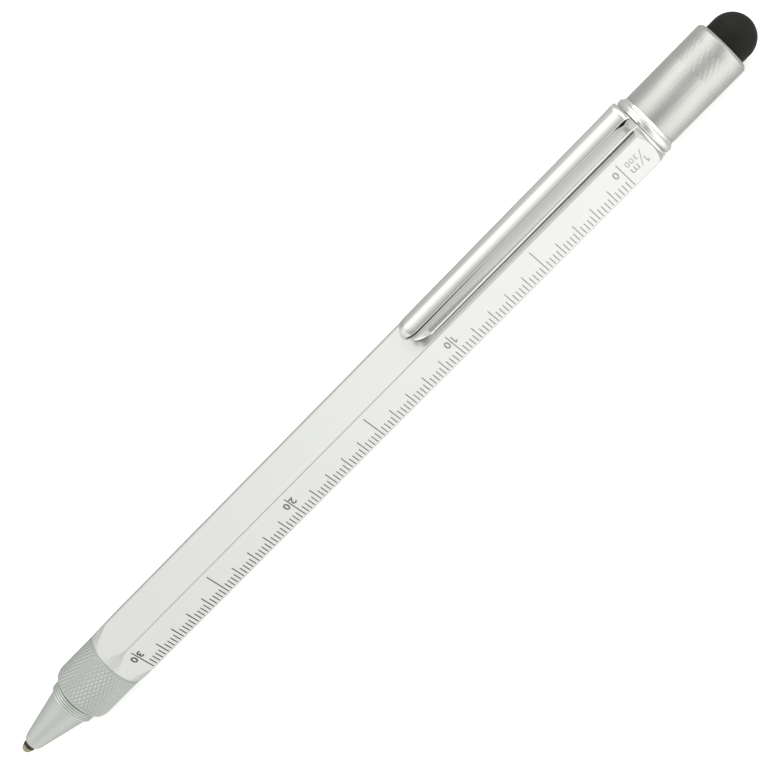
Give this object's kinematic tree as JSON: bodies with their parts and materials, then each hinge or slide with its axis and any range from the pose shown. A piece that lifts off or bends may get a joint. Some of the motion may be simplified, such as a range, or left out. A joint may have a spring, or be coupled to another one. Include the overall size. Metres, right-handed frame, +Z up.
{
  "type": "multi tool pen",
  "caption": "Hexagonal twist ballpoint pen with a printed scale, spirit level, pocket clip, and a screwed stylus cap over a double-ended driver bit.",
  "frame": {"origin": "bottom centre of the bounding box, with the pen lying on the barrel face opposite the clip", "axes": "+X from the writing point towards the stylus, +Y across the pen, +Z up through the clip's face"},
  "size_m": [0.1528, 0.0114, 0.0141],
  "materials": {
    "silver_lacquer": "satin silver lacquer",
    "satin_silver": "satin, turned",
    "satin_cap": "satin, turned",
    "chrome": "polished",
    "steel": "machined",
    "tool_steel": "hardened, ground",
    "nickel": "nickel plated",
    "brass": "machined",
    "stylus_rubber": "matt",
    "seal_rubber": "matt",
    "black_plastic": "matt",
    "white_plastic": "matt",
    "clear_acrylic": "clear",
    "level_liquid": "clear, yellow-green",
    "bubble": "clear",
    "ink": "liquid"
  },
  "bodies": {
    "barrel": {"hex_barrel": "silver_lacquer", "front_bush": "brass", "guide_tube": "brass", "bit_holder": "steel", "holder_magnet": "steel", "driver_bit": "tool_steel", "clip_ring": "chrome", "level_cradle": "white_plastic", "level_vial": "clear_acrylic", "level_plug_front": "black_plastic", "level_plug_rear": "black_plastic", "level_liquid": "level_liquid"},
    "grip": {"grip_section": "satin_silver", "drive_tube": "brass", "retaining_ring": "steel"},
    "refill": {"refill_ball": "steel", "refill_point": "nickel", "refill_tip_holder": "black_plastic", "refill_tube": "brass", "refill_ink": "ink", "refill_carrier": "brass", "follower_pin": "steel"},
    "nose_travel": {"nose_seal_ring": "seal_rubber"},
    "nose": {"nose_cone": "satin_silver"},
    "clip": {"clip_arm": "chrome"},
    "cap_lift": {"cap_washer": "white_plastic"},
    "cap_travel": {"cap_seal_ring": "seal_rubber"},
    "cap": {"cap_collar": "chrome", "cap_shell": "satin_cap", "cap_thread_insert": "brass", "stylus_post": "steel", "stylus_dome": "stylus_rubber"},
    "bubble": {"level_bubble": "bubble"}
  },
  "joints": [
    {"name": "grip_twist", "type": "hinge", "parent": "barrel", "child": "grip", "pos_m": [-0.055, 0, 0.00495], "axis": [1, 0, 0], "range_deg": [0, 180]},
    {"name": "refill_slide", "type": "slide", "parent": "barrel", "child": "refill", "axis": [1, 0, 0], "range_m": [0, 0.004]},
    {"name": "nose_thread_travel", "type": "slide", "parent": "grip", "child": "nose_travel", "axis": [-1, 0, 0], "range_m": [0, 0.0036]},
    {"name": "nose_unscrew", "type": "hinge", "parent": "nose_travel", "child": "nose", "pos_m": [-0.064, 0, 0.00495], "axis": [-1, 0, 0], "range_deg": [0, 1620]},
    {"name": "clip_lift", "type": "hinge", "parent": "barrel", "child": "clip", "pos_m": [0.05543, 0, 0.01056], "axis": [0, 1, 0], "range_deg": [0, 5], "stiffness_Nm_per_rad": 1.5},
    {"name": "cap_pull", "type": "slide", "parent": "barrel", "child": "cap_lift", "axis": [1, 0, 0], "range_m": [0, 0.025]},
    {"name": "cap_thread_travel", "type": "slide", "parent": "cap_lift", "child": "cap_travel", "axis": [1, 0, 0], "range_m": [0, 0.0035]},
    {"name": "cap_unscrew", "type": "hinge", "parent": "cap_travel", "child": "cap", "pos_m": [0.056, 0, 0.00495], "axis": [1, 0, 0], "range_deg": [0, 1800]},
    {"name": "bubble_slide", "type": "slide", "parent": "barrel", "child": "bubble", "axis": [1, 0, 0], "range_m": [-0.0025, 0.0025]}
  ],
  "couplings": [
    {"joint": "grip_twist", "follows": "refill_slide", "rad_per_m": 785.39},
    {"joint": "nose_unscrew", "follows": "nose_thread_travel", "rad_per_m": 7853.9},
    {"joint": "cap_unscrew", "follows": "cap_thread_travel", "rad_per_m": 8975.9}
  ]
}
